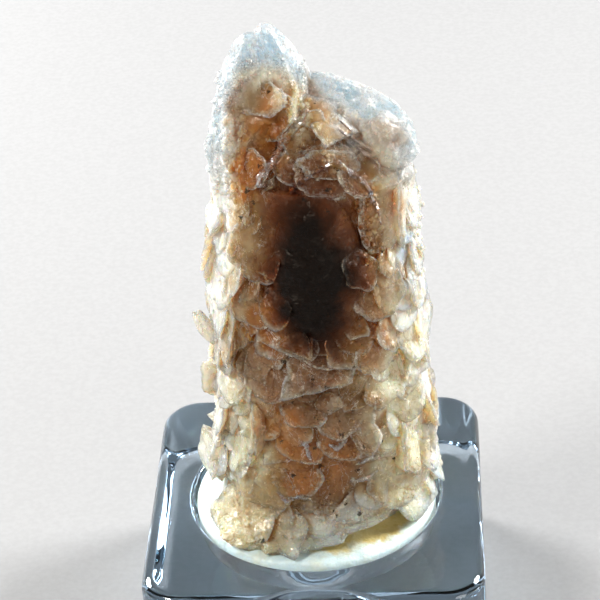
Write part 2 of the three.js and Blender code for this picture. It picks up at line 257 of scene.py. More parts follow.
def row_scales(leading):
    """Staggered rows all round, where no leading scale is near."""
    draw = random_stream(7)
    scales = []
    per_row = ROWS["per_row"]
    for row in range(ROWS["count"]):
        for place in range(per_row):
            azimuth = (place + 0.5 * (row % 2) + 0.34 * (draw() - 0.5)) * 360 / per_row - 180
            height = ROWS["first"] + row * ROWS["step"] + 2.2 * (draw() - 0.5)
            scale = dict(
                azimuth=azimuth, height=height, width=8.6 + 3.4 * draw(), drop=7.6 + 3.6 * draw(),
                tilt=8 + 24 * draw(), spin=50 * (draw() - 0.5), yaw=26 * (draw() - 0.5),
                out=-0.6 + 1.3 * draw(), thick=2.6 + 1.2 * draw(), sides=5 + int(3 * draw()),
                seed=1001 + row * 32 + place, size="row",
            )
            if on_calcite(azimuth, height) and not near(scale, leading, 4):
                scales.append(scale)
    return scales


def small_scales(count=300):
    """Small plates between the large ones, too small for the part's solids."""
    draw = random_stream(4242)
    scales = []
    while len(scales) < count:
        azimuth, height = 360 * draw() - 180, 3 + 64 * draw()
        size = 3.6 + 3.6 * draw()
        scale = dict(
            azimuth=azimuth, height=height, width=size * (0.7 + 0.7 * draw()), drop=size,
            tilt=6 + 26 * draw(), spin=110 * (draw() - 0.5), yaw=40 * (draw() - 0.5),
            out=-0.5 + 1.0 * draw(), thick=0.8 + 0.8 * draw(), sides=4 + int(4 * draw()),
            seed=9001 + len(scales), size="small",
        )
        calm = abs(azimuth) < 42 and 8 < height < 37 and draw() < 0.5
        if on_calcite(azimuth, height, 0.95) and not calm:
            scales.append(scale)
    return scales


def blades(count=320):
    """Thin sheets of calcite that stand on edge at the sides and back, in sheaves."""
    draw = random_stream(6161)
    scales = []
    while len(scales) < count:
        azimuth, height = 40 + 280 * draw(), 4 + 61 * draw()
        side = 1 if draw() < 0.5 else -1
        spin, yaw = 36 * (draw() - 0.5), side * (50 + 34 * draw())
        size, sheaf = 3.0 + 3.6 * draw(), 2 + int(4 * draw())
        if azimuth < 56 or azimuth > 312 or on_quartz(180 - azimuth, height):
            continue
        for member in range(sheaf):
            scale = dict(
                azimuth=azimuth + 3.2 * member * (0.7 + 0.6 * draw()), height=height + 1.8 * (draw() - 0.5),
                width=2.0 + 1.4 * draw(), drop=size * (0.7 + 0.6 * draw()), tilt=20 * (draw() - 0.3),
                spin=spin + 12 * (draw() - 0.5), yaw=yaw + 12 * (draw() - 0.5), out=-0.8 + 0.7 * draw(),
                thick=0.5 + 0.35 * draw(), sides=4 + int(2 * draw()),
                seed=20001 + len(scales), size="blade",
            )
            scales.append(scale)
    return scales


def broad_scales(count=46):
    """Large thin plates that break up the rows at the sides and back."""
    draw = random_stream(8383)
    return [
        dict(
            azimuth=64 + 232 * draw(), height=8 + 54 * draw(), width=9 + 7 * draw(), drop=8 + 6 * draw(),
            tilt=2 + 16 * draw(), spin=80 * (draw() - 0.5), yaw=24 * (draw() - 0.5),
            out=-0.1 + 0.9 * draw(), thick=1.4 + 1.0 * draw(), sides=5 + int(3 * draw()),
            seed=30001 + index, size="lead",
        )
        for index in range(count)
    ]


def scale_outline(draw, sides):
    turn = draw() * 360
    walls = []
    for i in range(sides):
        angle = (turn + (i + 0.3 * (draw() - 0.5)) * (360 / sides)) * RAD
        walls.append((angle, 0.88 + 0.24 * draw()))
    sharpness = 9 if sides > 4 else 22

    def reach(angle):
        total = 0.0
        for wall, distance in walls:
            facing = cos(angle - wall)
            if facing > 0:
                total += (facing / distance) ** sharpness
        return total ** (-1 / sharpness)

    return reach


def broken_edge(draw, count, corners, depth):
    """Shares of the outline in `count` directions: straight between corners, some of them chipped in."""
    places = sorted(draw() for _ in range(corners))
    shares = [1 - depth * draw() ** 1.6 for _ in places]
    return np.interp(np.arange(count) / count, places, shares, period=1)


def scale_place(scale):
    tilt, spin = scale["tilt"] * RAD, scale["spin"] * RAD
    overhang = (abs(sin(tilt)) * scale["drop"] + scale["thick"]) / 2
    facing = (scale["azimuth"] + scale["yaw"]) * RAD
    normal = direction(facing, tilt)
    across = Vector((cos(facing), sin(facing), 0))
    side = turned(across, normal.cross(across), spin)
    place = Matrix((side, normal.cross(side), normal)).transposed().to_4x4()
    out = scale["out"] - OVERHANG_SHARE * overhang
    place.translation = envelope_point(scale["azimuth"] * RAD, scale["height"], out)
    return place


# Growth steps of a plate from its edge inwards: mean width as a share, then the heights where the tread
# and the riser end. These and the rim's are shares of half the plate's thickness.
STEPS = [(0.06, 0.52, 0.66), (0.15, 0.72, 0.82), (0.24, 0.87, 0.94)]
RIM = 0.42
# [points round, corners, depth of chips, depth of scallops, growth steps, the rim's edge value]
PLATE_DETAIL = {
    "lead": (56, 15, 0.10, 0.07, 3, 1.0),
    "row": (44, 13, 0.12, 0.05, 2, 0.93),
    "small": (18, 8, 0.18, 0.0, 1, 0.88),
    "blade": (10, 6, 0.25, 0.0, 0, 0.9),
}


def plate(scale):
    """Points, faces, edge values and tone of a chipped plate with growth steps that wander and merge."""
    outline = scale_outline(random_stream(scale["seed"]), scale["sides"])
    detail = random_stream(scale["seed"] + 50000)
    count, corners, chips, scallops, steps, rim = PLATE_DETAIL[scale["size"]]
    angles = around(count)
    shift = Vector((detail() * 50, detail() * 50, detail() * 50))
    half = scale["thick"] / 2
    reach = np.array([outline(angle) for angle in angles])
    reach = reach * broken_edge(detail, count, corners, chips)
    full = 0.4 + 0.6 * detail()
    lean = 0.5 * detail()
    lobes, turn = 5 + int(5 * detail()), detail() * 6.28
    notches = [(1 - abs(sin(angle * lobes / 2 + turn))) ** 2 for angle in angles]
    reach = reach * np.array([1 - scallops * notch for notch in notches])
    # Each level: reach in every direction, height as a share of half the thickness, edge value.
    levels = [(reach * 0.5, -1.0, 0.0), (reach * 0.86, -0.2, 0.25), (reach * 0.97, 0.3, 0.9)]
    levels.append((reach, RIM, 1.0))
    edge = 1.0
    for step, (width, tread, riser) in enumerate(STEPS[:steps]):
        wander = []
        for angle in angles:
            way = Vector((cos(angle), sin(angle), 0)) * 1.25
            uneven = 1 + 1.5 * noise.noise(shift + way + Vector((0, 0, 2.3 * step)))
            wander.append(width * max(0.12, uneven * (1 + lean * sin(angle))))
        reach = reach * (1 - np.array(wander))
        edge -= width * 1.1
        levels.append((reach, RIM + full * (tread - RIM), edge))
        reach = reach * 0.97
        levels.append((reach, RIM + full * (riser - RIM), edge - 0.02))
    top = RIM + full * (1 - RIM)
    levels.append((reach * 0.45, top - 0.02, 0.15))
    place = scale_place(scale)
    rings, edges = [], []
    for reaches, part, edge in levels:
        ring = []
        for angle, far in zip(angles, reaches):
            x = cos(angle) * far * scale["width"] / 2
            y = sin(angle) * far * scale["drop"] / 2
            flat = shift + Vector((x, y, 0))
            ripple = 0.26 * noise.noise(flat * 0.5) + 0.10 * noise.noise(flat * 1.7)
            ring.append(place @ Vector((x, y, part * half + ripple * min(1, half))))
            edges.append(edge * rim)
        rings.append(ring)
    points, faces = ring_mesh(rings, place @ Vector((0, 0, half * top)))
    return points, faces, edges + [0.0], detail()


# ---- Core and the smooth face under the painted dark shade ----
def core_rings():
    def point(row, angle):
        half_width, half_depth, height, rough = row
        x, y = half_width * cos(angle), half_depth * sin(angle)
        swell = 1 + rough * noise.fractal(Vector((x, y, height)) * 0.16, 0.9, 2.1, 4)
        return Vector((x * swell, y * swell, height))

    rows = [[FOOT["half_width"], FOOT["half_depth"], height, 0.0] for height in (-FOOT["sunk"], 1.5)]
    for height in np.linspace(4, 63, 60).tolist():
        rows.append([half * CORE_SHARE for half in envelope_at(height)] + [height, 0.05])
    return rings_of(rows, 96, point)


# Share of the dark face's outline, and how far the face stands out there.
WINDOW_LEVELS = [
    (1.02, -4.5), (1.0, -2.2), (0.97, -1.2), (0.92, -0.6), (0.85, -0.25),
    (0.74, 0.0), (0.6, 0.15), (0.45, 0.22), (0.3, 0.25), (0.14, 0.25),
]


def window_rings():
    def point(level, angle):
        share, out = level
        azimuth = WINDOW["azimuth"] + WINDOW["half_angle"] * share * cos(angle)
        height = WINDOW["height"] + WINDOW["half_height"] * share * sin(angle)
        dent = 0.35 * noise.noise(Vector((azimuth * 0.09, height * 0.22, 3)))
        return envelope_point(azimuth * RAD, height, out + dent * share)

    return rings_of(WINDOW_LEVELS, 56, point)


# ---- Quartz at the top ----
# [height, x, y, half width, half depth, turn in degrees]
POINT_SECTIONS = [
    (50, -6.2, -1.6, 7.6, 9.8, 8),
    (66, -6.3, -1.6, 8.9, 9.0, 8),
    (76.4, -5.4, -0.8, 6.6, 5.8, 8),
    (79.4, -5.1, -0.7, 4.9, 4.6, 8),
    (81.6, -4.5, -0.6, 3.1, 3.3, 4),
    (83.3, -4.9, -0.5, 2.1, 2.4, 4),
    (84.2, -5.2, -0.4, 1.6, 1.8, 4),
    (84.65, -5.3, -0.4, 0.8, 1.0, 4),
    (84.75, -5.3, -0.4, 0.2, 0.3, 4),
]
SIDE_POINT_SECTIONS = [
    (68, -8.6, -1.8, 5.8, 7.2, -4),
    (77.5, -8.0, -1.3, 4.3, 5.2, -4),
    (81.5, -7.6, -1.0, 2.8, 3.4, -4),
    (82.7, -7.4, -0.9, 2.1, 2.6, -4),
    (83.3, -7.4, -0.9, 1.3, 1.6, -4),
    (83.6, -7.4, -0.9, 0.4, 0.5, -4),
]
# The ridge's points, each with its depth to both sides.
WEDGE = {
    "ridge": [
        (-2.5, 0.4, 76.8, 11.4), (3.8, 0.6, 75.8, 12.2), (9.8, 0.4, 73.2, 10.4),
        (13.2, 0.2, 70.9, 8.0), (15.6, 0.0, 67.6, 5.0),
    ],
    "blunt": 0.7,
    "bottom": 55,
    "lean": 0.76,
}


def crystal_rings(sections):
    """Six-sided sections."""

    def point(section, angle):
        height, x, y, half_width, half_depth, turn = section
        angle += turn * RAD
        return Vector((x + half_width * cos(angle), y + half_depth * sin(angle), height))

    return rings_of(sections, 6, point)


def wedge_rings():
    rings = []
    for x, y, z, depth in WEDGE["ridge"]:
        low = (depth * 0.9, WEDGE["bottom"] - z, WEDGE["lean"])
        flank = [(WEDGE["blunt"], 0, 1), (depth, -depth * 1.1, 1), low]
        ring = [Vector((x * share, y - out, z + drop)) for out, drop, share in flank]
        ring += [Vector((x * share, y + out, z + drop)) for out, drop, share in reversed(flank)]
        rings.append(ring)
    return rings


def dense(rings, longest=1.0, rough=0.3):
    """The same form with sides and walls cut into steps of about `longest`, and gently roughened."""
    sides = [list(zip(ring, ring[1:] + ring[:1])) for ring in rings]
    cuts = max(1, ceil(max((a - b).length for ring in sides for a, b in ring) / longest))
    fine = [[a.lerp(b, cut / cuts) for a, b in ring for cut in range(cuts)] for ring in sides]
    walls = [fine[0]]
    for low, high in zip(fine, fine[1:]):
        steps = max(1, ceil(max((a - b).length for a, b in zip(low, high)) / longest))
        for step in range(1, steps + 1):
            walls.append([a.lerp(b, step / steps) for a, b in zip(low, high)])
    middle = mean_of(walls[-1])
    for share in (0.75, 0.5, 0.25):
        walls.append([p.lerp(middle, 1 - share) for p in fine[-1]])
    for ring in walls:
        for p in ring:
            swell = rough * noise.fractal(p * 0.5, 0.8, 2.2, 4)
            p += Vector((p.x + 4, p.y, 0)).normalized() * swell
    return ring_mesh(walls, middle)


# ---- Swellings, the pocket in the point's front, and raised ridges ----
# Each ridge: radius, edge value and the places that it runs through, as azimuth and height.
RIDGES = [
    (
        0.75, 0.85,
        [(6, 73.4), (-6, 72.2), (-15, 71.0), (-23, 69.2), (-27, 67.4), (-31, 64.2), (-33, 62.0)],
    ),
    (
        0.45, 0.55,
        [(-16, 61.5), (-6, 64.8), (6, 66.4), (18, 67.0), (30, 66.2), (41, 63.5), (47, 59), (49, 54)],
    ),
    (0.35, 0.55, [(34, 71.4), (44, 68.8), (52, 66.2), (58, 63.2)]),
    (0.3, 0.55, [(40, 72.0), (49, 69.2), (57, 66.4), (63, 63.0)]),
    # These ribs have the full edge value, so their pale rims are painted glints.
    (0.35, 1.0, [(-28, 10.9), (-22, 9.9), (-14, 9.3), (-7, 9.5)]),
    (0.4, 1.0, [(4, 19.8), (10, 19.0), (17, 20.6)]),
    (0.35, 1.0, [(-13, 20.6), (-9, 18.4), (-6, 17.2)]),
    (0.3, 1.0, [(22, 15.2), (32, 15.6), (42, 15.0)]),
    (0.3, 1.0, [(16, 12.6), (26, 12.0), (36, 12.8)]),
]


def lump(centre, half, lean, rough):
    """A rounded, uneven form; a positive lean moves its top to the right."""
    middle, turn = Vector(centre), Matrix.Rotation(lean * RAD, 3, "Y")

    def point(polar, angle):
        flat = sin(polar)
        way = Vector((flat * cos(angle), flat * sin(angle), -cos(polar)))
        swell = 1 + rough * noise.fractal(way * 1.8 + middle, 0.8, 2.1, 4)
        return middle + turn @ Vector([w * h * swell for w, h in zip(way, half)])

    return ring_mesh(rings_of([k / 16 * pi for k in range(1, 16)], 40, point))


def seated(tree, azimuth, height):
    """Where a level line towards the axis meets the solid, and the normal there."""
    start = Vector((sin(azimuth * RAD) * 40, -cos(azimuth * RAD) * 40, height))
    hit, normal, _, _ = tree.ray_cast(start, Vector((-start.x, -start.y, 0)))
    return hit, normal


def ridge_middle(tree, places, radius, seed):
    """Points of a wavy line on the solid, smoothed and sunk a little."""
    places = np.array(places, float)
    middle = []
    for step in np.linspace(0, len(places) - 1, 12 * len(places)):
        azimuth, height = (float(np.interp(step, range(len(places)), column)) for column in places.T)
        sway = noise.noise(Vector((step * 0.9, seed, 0)))
        hit, normal = seated(tree, azimuth + 2.5 * sway, height + 0.5 * sway)
        middle.append(hit - normal * radius * 0.25)
    return [mean_of(middle[max(0, i - 3) : i + 4]) for i in range(len(middle))]


def ridges(tree):
    """Raised wavy ribs with thin ends, partly sunk in the solid; each is a source of edge and tone values."""
    made = []
    for number, (radius, edge, places) in enumerate(RIDGES):
        middle = ridge_middle(tree, places, radius, number * 5.3)
        last = len(middle) - 1

        def point(i, angle):
            along = (middle[min(i + 1, last)] - middle[max(i - 1, 0)]).normalized()
            out = Vector((middle[i].x, middle[i].y, 0)).normalized()
            side = along.cross(out).normalized()
            way = turned(side, side.cross(along), angle)
            wide = radius * (0.25 + 0.75 * sin(pi * (i / last)) ** 0.5)
            swell = 1 + 0.45 * noise.fractal((middle[i] + way) * 0.9, 0.8, 2.1, 3)
            return middle[i] + way * wide * swell

        points, faces = ring_mesh(rings_of(range(len(middle)), 10, point))
        made.append((points, faces, [edge] * len(points), 0.9))
    return made


# ---- Sugary grains, most of them on the shoulders ----
# [azimuth, height, half angle, half height] of smooth places without grains
SMOOTH_PLACES = [(-30, 70.8, 15, 7), (-44, 76.4, 14, 3), (64, 68, 18, 5), (26, 71.6, 15, 3.5)]
# How far along a grain's axis, and its radius there, as shares of its size.
GRAIN_SECTIONS = [(-0.9, 0.5), (0.15, 1.0), (0.75, 0.55)]
# [first azimuth, last azimuth, lowest height, highest height, how many, largest radius]
GRAIN_AREAS = [
    (-150, -50, 60, 78, 420, 0.9),
    (-75, 10, 74.5, 81, 520, 0.45),
    (-60, 20, 64, 75, 260, 0.6),
    (10, 60, 66, 72, 40, 0.5),
    (-6, 8, 6, 10, 40, 0.7),
    (60, 150, 40, 66, 160, 0.7),
    (-70, 60, 1, 9, 200, 0.45),
    (-60, 60, 12, 36, 260, 0.45),
    (34, 48, 50, 62, 60, 0.6),
    (150, 210, 60, 76, 200, 0.8),
]


def grains(tree):
    """Small stubby crystals seated on the solid."""
    draw = random_stream(777)
    made = []
    for first, last, low, high, count, largest in GRAIN_AREAS:
        for _ in range(count):
            azimuth, height = first + (last - first) * draw(), low + (high - low) * draw()
            size = largest * (0.38 + 0.62 * draw() ** 2)
            spin, flat = draw() * 6.28, 0.6 + 0.5 * draw()
            hit, normal = seated(tree, azimuth, height)
            smooth = any(hypot((azimuth - a) / w, (height - h) / t) < 1 for a, h, w, t in SMOOTH_PLACES)
            if hit is None or smooth:
                continue
            lean = Vector((draw() - 0.5, draw() - 0.5, draw() - 0.2)) * 0.9
            axis = (normal + lean).normalized()
            side = axis.orthogonal().normalized()
            other = axis.cross(side)
            rings = []
            for along, wide in GRAIN_SECTIONS:
                middle, reach = hit + axis * (along * size * flat), wide * size
                rings.append([middle + turned(side, other, spin + angle) * reach for angle in around(5)])
            made.append(ring_mesh(rings))
    return made


# ---- Joining ----
MOST_TRIANGLES = 190000


def batches(items):
    """Groups of items that keep clear of each other, so that one boolean can add a whole group."""
    groups = []
    for item in items:
        points = np.array([tuple(p) for p in item[0]])
        low, high = points.min(0), points.max(0)
        for group in groups:
            if all((low > h + 0.05).any() or (high < l - 0.05).any() for l, h, _ in group):
                group.append((low, high, item))
                break
        else:
            groups.append([(low, high, item)])
    return [[item for _, _, item in group] for group in groups]


def merged(items):
    points, faces = [], []
    for item in items:
        base = len(points)
        points += item[0]
        faces += [tuple(base + i for i in face) for face in item[1]]
    return points, faces


def apply_modifiers(obj):
    graph = bpy.context.evaluated_depsgraph_get()
    made = bpy.data.meshes.new_from_object(obj.evaluated_get(graph))
    obj.modifiers.clear()
    obj.data = made


def combined(name, start, steps):
    """The start mesh with each step's items joined to it (UNION) or cut out of it (DIFFERENCE)."""
    target = new_object(name, *start)
    helpers = []
    for operation, items in steps:
        for group in batches(items):
            helper = new_object("joining", *merged(group))
            helpers.append(helper)
            step = target.modifiers.new("join", "BOOLEAN")
            step.operation, step.solver, step.object = operation, "MANIFOLD", helper
    apply_modifiers(target)
    for helper in helpers:
        bpy.data.objects.remove(helper)
    return target


def edges_of(mesh):
    """The first and the second vertex of every edge."""
    edges = np.empty(len(mesh.edges) * 2, int)
    mesh.edges.foreach_get("vertices", edges)
    return edges.reshape(-1, 2).T


def largest_part(mesh):
    """Removes every part that isn't joined to the largest one."""
    count = len(mesh.vertices)
    first, second = edges_of(mesh)
    label = np.arange(count)
    while True:
        low = np.minimum(label[first], label[second])
        new = label.copy()
        np.minimum.at(new, first, low)
        np.minimum.at(new, second, low)
        new = new[new]
        if (new == label).all():
            break
        label = new
    drop = label != np.bincount(label, minlength=count).argmax()
    if drop.any():
        work = bmesh.new()
        work.from_mesh(mesh)
        work.verts.ensure_lookup_table()
        bmesh.ops.delete(work, geom=[work.verts[i] for i in np.nonzero(drop)[0]], context="VERTS")
        work.to_mesh(mesh)
        work.free()


def thin_out(obj):
    """Fewer triangles where the surface is flat, so that the piece stays under the limit."""
    count = sum(len(p.vertices) - 2 for p in obj.data.polygons)
    fewer = obj.modifiers.new("thin_out", "DECIMATE")
    fewer.ratio = min(1.0, MOST_TRIANGLES / count)
    fewer.use_collapse_triangulate = True
    apply_modifiers(obj)


def finish_mesh(obj, angle):
    for polygon in obj.data.polygons:
        polygon.use_smooth = True
    obj.data.set_sharp_from_angle(angle=angle * RAD)


def solid_of(obj):
    return [v.co / MM for v in obj.data.vertices], [tuple(p.vertices) for p in obj.data.polygons]


# ---- Values painted on the specimen's points ----
TINTS = {
    "white": (0.88, 0.90, 0.84),
    "brown": (0.30, 0.17, 0.065),
    "cream": (0.94, 0.90, 0.64),
    "tan": (0.42, 0.25, 0.075),
    "honey": (0.50, 0.22, 0.035),
    "orange": (0.47, 0.160, 0.026),
    "russet": (0.15, 0.032, 0.006),
    "rosy": (0.27, 0.145, 0.08),
    "grey": (0.88, 0.92, 0.84),
    "buff": (0.56, 0.47, 0.26),
    "peach": (0.56, 0.36, 0.18),
    "mist": (0.40, 0.44, 0.45),
    "frosty": (0.60, 0.76, 0.88),
    "dark": (0.004, 0.0015, 0.0008),
}
# Areas of the column, painted in this order:
# [tint, azimuth, height, half angle, half height, strength, softness]
AREAS = [
    ("cream", 180, 40, 120, 70, 0.95, 0.3),
    ("buff", 180, 36, 76, 60, 0.95, 0.4),
    # Painted light: near-white sides, where light from behind shines through the column's edges.
    ("white", -80, 46, 28, 50, 0.95, 0.3),
    ("white", 80, 46, 29, 50, 0.95, 0.3),
    ("grey", 0, 0, 90, 9, 0.95, 0.35),
    ("cream", -50, 22, 14, 20, 0.95, 0.5),
    ("cream", 52, 22, 22, 20, 0.95, 0.5),
    ("rosy", 3, 19, 34, 12, 0.9, 0.4),
    ("orange", -2, 17, 20, 6, 0.5, 0.5),
    ("orange", -24, 24, 14, 6, 0.7, 0.6),
    ("honey", -32, 41, 13, 9, 0.8, 0.6),
    ("orange", -30, 43, 10, 8, 0.8, 0.6),
    ("rosy", -22, 32, 44, 6, 0.9, 0.4),
    ("orange", -29, 42, 9, 7, 0.8, 0.5),
    ("orange", 38, 38, 10, 6, 0.7, 0.5),
    ("tan", 56, 55, 12, 12, 0.5, 0.5),
    ("honey", 44, 55, 12, 8, 0.5, 0.5),
    ("frosty", 69, 49.5, 7, 4, 0.9, 0.4),
    ("orange", 33, 60, 9, 4, 0.7, 0.5),
    ("orange", -22, 59, 8, 5, 0.7, 0.5),
    ("white", -72, 3, 24, 5, 0.9, 0.4),
    ("buff", -42, 4, 26, 7, 0.75, 0.5),
    ("tan", -38, 5, 26, 6, 0.35, 0.5),
    ("buff", 40, 6, 20, 6, 0.4, 0.5),
    ("rosy", 6, 65, 34, 5, 0.85, 0.4),
    ("brown", -44, 76.0, 20, 3.6, 0.85, 0.4),
    ("orange", -31, 70.9, 18, 6.8, 1.0, 0.3),
    ("orange", -40, 66, 9, 4, 0.9, 0.4),
    ("russet", -28, 70.6, 8, 3.6, 0.6, 0.6),
    ("cream", -32, 80.4, 24, 2.2, 0.8, 0.5),
    ("cream", -3, 75.0, 9, 4.6, 0.8, 0.5),
    ("peach", 28, 71.3, 16, 3.5, 0.85, 0.5),
    ("rosy", 64, 69, 8, 2.6, 0.5, 0.6),
    ("mist", 180, 78, 90, 14, 0.9, 0.3),
    # Painted shade: russet round a near-black middle, where the column is thickest against the light from
    # behind.
    ("russet", 1, 51, 41, 18, 0.95, 0.3),
    ("dark", 0, 50, 29, 14.5, 1.0, 0.42),
]
# Heights where the clear quartz starts in the point and the wedge, how much more at the front, and softness.
ICE = {"point": 75.5, "front": 5.0, "wedge": 69.5, "soft": 5.0}
# Clouded spots in the clear quartz: azimuth, height, half angle, half height, strength.
CLOUDED = [(62, 70.2, 9, 2.6, 0.7), (-42, 75.4, 19, 3.6, 0.95)]
# Six rays look for what is near in front of a point; one measures the solid behind it.
CAVITY = {"reach": 2.6, "turns": around(6)}
FARTHEST = 20.0


def smooth_step(low, high, value):
    t = np.clip((value - low) / (high - low), 0, 1)
    return t * t * (3 - 2 * t)


def fractal_at(points, size, seed):
    shift = Vector((seed * 7.1, seed * 3.7, seed * 1.9))
    return np.array([noise.fractal(Vector(p) * size + shift, 0.8, 2.1, 4) for p in points])


def smoothed(values, mesh, rounds):
    """Each point's value moved towards its neighbours' mean, several times over."""
    first, second = edges_of(mesh)
    count = len(values)
    degree = np.bincount(first, minlength=count) + np.bincount(second, minlength=count)
    for _ in range(rounds):
        total = np.bincount(first, values[second], count) + np.bincount(second, values[first], count)
        values = 0.5 * values + 0.5 * total / np.maximum(degree, 1)
    return values


def blend_tint(tint, name, weight):
    tint += (np.array(TINTS[name]) - tint) * weight[:, None]


def painted_areas(azimuth, height):
    tint = np.tile(np.array(TINTS["tan"]), (len(height), 1))
    for name, az, h, half_angle, half_height, strength, soft in AREAS:
        turn = (azimuth - az + 540) % 360 - 180
        share = np.hypot(turn / half_angle, (height - h) / half_height)
        blend_tint(tint, name, strength * (1 - smooth_step(1 - soft, 1 + soft, share)))
    return tint


def ice_share(co, azimuth, fine):
    """1 in clear quartz, 0 in calcite."""
    height = co[:, 2]
    to_right = smooth_step(-0.5, 7.5, co[:, 0] + 1.5 * fine)
    point_start = ICE["point"] + ICE["front"] * smooth_step(2.5, 5.5, -co[:, 1] + fine)
    start = point_start + (ICE["wedge"] - point_start) * to_right
    ice = smooth_step(start - ICE["soft"], start + ICE["soft"], height + 1.5 * fine)
    ice = np.maximum(ice, 0.9 * smooth_step(58, 66, height) * smooth_step(50, 72, np.abs(azimuth)))
    ice *= 1 - 0.45 * smooth_step(100, 135, np.abs(azimuth))
    for az, h, half_angle, half_height, strength in CLOUDED:
        share = np.hypot((azimuth + 3 * fine - az) / half_angle, (height + fine - h) / half_height)
        ice *= 1 - strength * (1 - smooth_step(0.6, 1.15, share))
    return ice


def nearest_values(co, sources):
    """Edge and tone of the nearest plate or rib; the edge fades where that is hidden below the surface."""
    tree = KDTree(sum(len(item[0]) for item in sources))
    values = []
    for points, _, edges, tone in sources:
        for point, edge in zip(points, edges):
            tree.insert(point, len(values))
            values.append((edge, tone))
    tree.balance()
    edge, tone, away = np.zeros(len(co)), np.full(len(co), 0.5), np.zeros(len(co))
    for i, point in enumerate(co):
        _, found, away[i] = tree.find(point)
        if away[i] < 1.2:
            edge[i], tone[i] = values[found]
    return edge * (1 - smooth_step(0.25, 0.75, away)), tone


def depth_and_shelter(co, normals, polygons):
    """How thick the solid is behind each point, and how much is near in front of it."""
    tree = BVHTree.FromPolygons([Vector(p) for p in co], polygons)
    thick, cavity = np.full(len(co), FARTHEST), np.zeros(len(co))
    for i, (point, normal) in enumerate(zip(co, normals)):
        point, normal = Vector(point), Vector(normal)
        behind = tree.ray_cast(point - normal * 0.03, -normal, FARTHEST)[3]
        if behind is not None:
            thick[i] = behind
        side = normal.orthogonal().normalized()
        other = normal.cross(side)
        for turn in CAVITY["turns"]:
            way = normal * 0.62 + turned(side, other, turn) * 0.78
            distance = tree.ray_cast(point + normal * 0.05, way, CAVITY["reach"])[3]
            if distance is not None:
                cavity[i] += 1 - 0.6 * distance / CAVITY["reach"]
    return thick, cavity / len(CAVITY["turns"])


def vertex_numbers(mesh, name):
    numbers = np.empty(len(mesh.vertices) * 3)
    mesh.vertices.foreach_get(name, numbers)
    return numbers.reshape(-1, 3)


def paint(mesh, sources):
    """Writes the attributes that the crystal's material reads: tint, edge, thin, relief, cavity, ice."""
    co = vertex_numbers(mesh, "co") / MM
    azimuth = np.degrees(np.arctan2(co[:, 0], -co[:, 1]))
    wander, fine = fractal_at(co, 0.13, 1), fractal_at(co, 0.45, 2)
    tint = painted_areas(azimuth + 9 * wander + 4 * fine, co[:, 2] + 2.6 * wander + fine)
    ice = ice_share(co, azimuth, fine)
    edge, tone = nearest_values(co, sources)
    light = tint.mean(1)
    bright = smooth_step(0.08, 0.4, light) * (1 - 0.6 * smooth_step(0.7, 0.85, light)) * (1 - ice) * 0.4
    blend_tint(tint, "cream", smooth_step(0.6, 1.0, tone) * bright)
    blend_tint(tint, "rosy", smooth_step(0.6, 1.0, 1 - tone) * bright)
    polygons = [tuple(p.vertices) for p in mesh.polygons]
    thick, cavity = depth_and_shelter(co, vertex_numbers(mesh, "normal"), polygons)
    radius = np.hypot(co[:, 0], co[:, 1])
    single = {"edge": edge, "thin": np.exp(-thick / 2.2), "relief": radius - smoothed(radius, mesh, 24)}
    single.update(cavity=smoothed(cavity, mesh, 2), ice=ice)
    for name, numbers in single.items():
        attribute = mesh.attributes.new(name, "FLOAT", "POINT")
        attribute.data.foreach_set("value", numbers.astype(np.float32))
    attribute = mesh.attributes.new("tint", "FLOAT_COLOR", "POINT")
    rgba = np.concatenate([tint, np.ones((len(co), 1))], axis=1)
    attribute.data.foreach_set("color", rgba.astype(np.float32).ravel())


def specimen_piece():
    leading = listed_scales(LEADING_SCALES, 101)
    scales = leading + row_scales(leading) + listed_scales(EXTRA_SCALES, 301)
    scales += broad_scales() + small_scales() + blades()
    plates = [plate(scale) for scale in scales]
    quartz = [crystal_rings(POINT_SECTIONS), crystal_rings(SIDE_POINT_SECTIONS), wedge_rings()]
    swellings = [ring_mesh(window_rings())] + [dense(rings) for rings in quartz]
    swellings += [lump(*row) for row in LUMPS]
    steps = [("UNION", swellings), ("DIFFERENCE", [lump(*POCKET)]), ("UNION", plates)]
    made = combined("joined", ring_mesh(core_rings()), steps)
    largest_part(made.data)
    solid = solid_of(made)
    bpy.data.objects.remove(made)
    tree = BVHTree.FromPolygons(*solid)
    ribs = ridges(tree)
    made = combined("specimen_crystals", solid, [("UNION", ribs), ("UNION", grains(tree))])
    largest_part(made.data)
    thin_out(made)
    paint(made.data, plates + ribs)
    made.data.transform(Matrix.Translation((COLUMN_X * MM, 0, TOP * MM)))
    finish_mesh(made, 26)
    return made


# ---- Glass block ----
def rounded_square(side, corner, z, steps=12):
    """Counter-clockwise, with as many points on a side as on a corner."""
    half, quarter = side / 2, []
    for i in range(steps):
        angle = -pi / 2 + i / steps * pi / 2
        quarter.append((half - corner + corner * cos(angle), -half + corner + corner * sin(angle)))
    quarter += [(half, -half + corner + (side - 2 * corner) * i / steps) for i in range(steps)]
    ring = []
    for number in range(4):
        c, s = cos(number * pi / 2), sin(number * pi / 2)
        ring += [Vector((x * c - y * s, x * s + y * c, z)) for x, y in quarter]
    return ring


def arc(count):
    """Angles of equal steps from 0 to a quarter turn, both included."""
    return [pi / 2 * i / count for i in range(count + 1)]


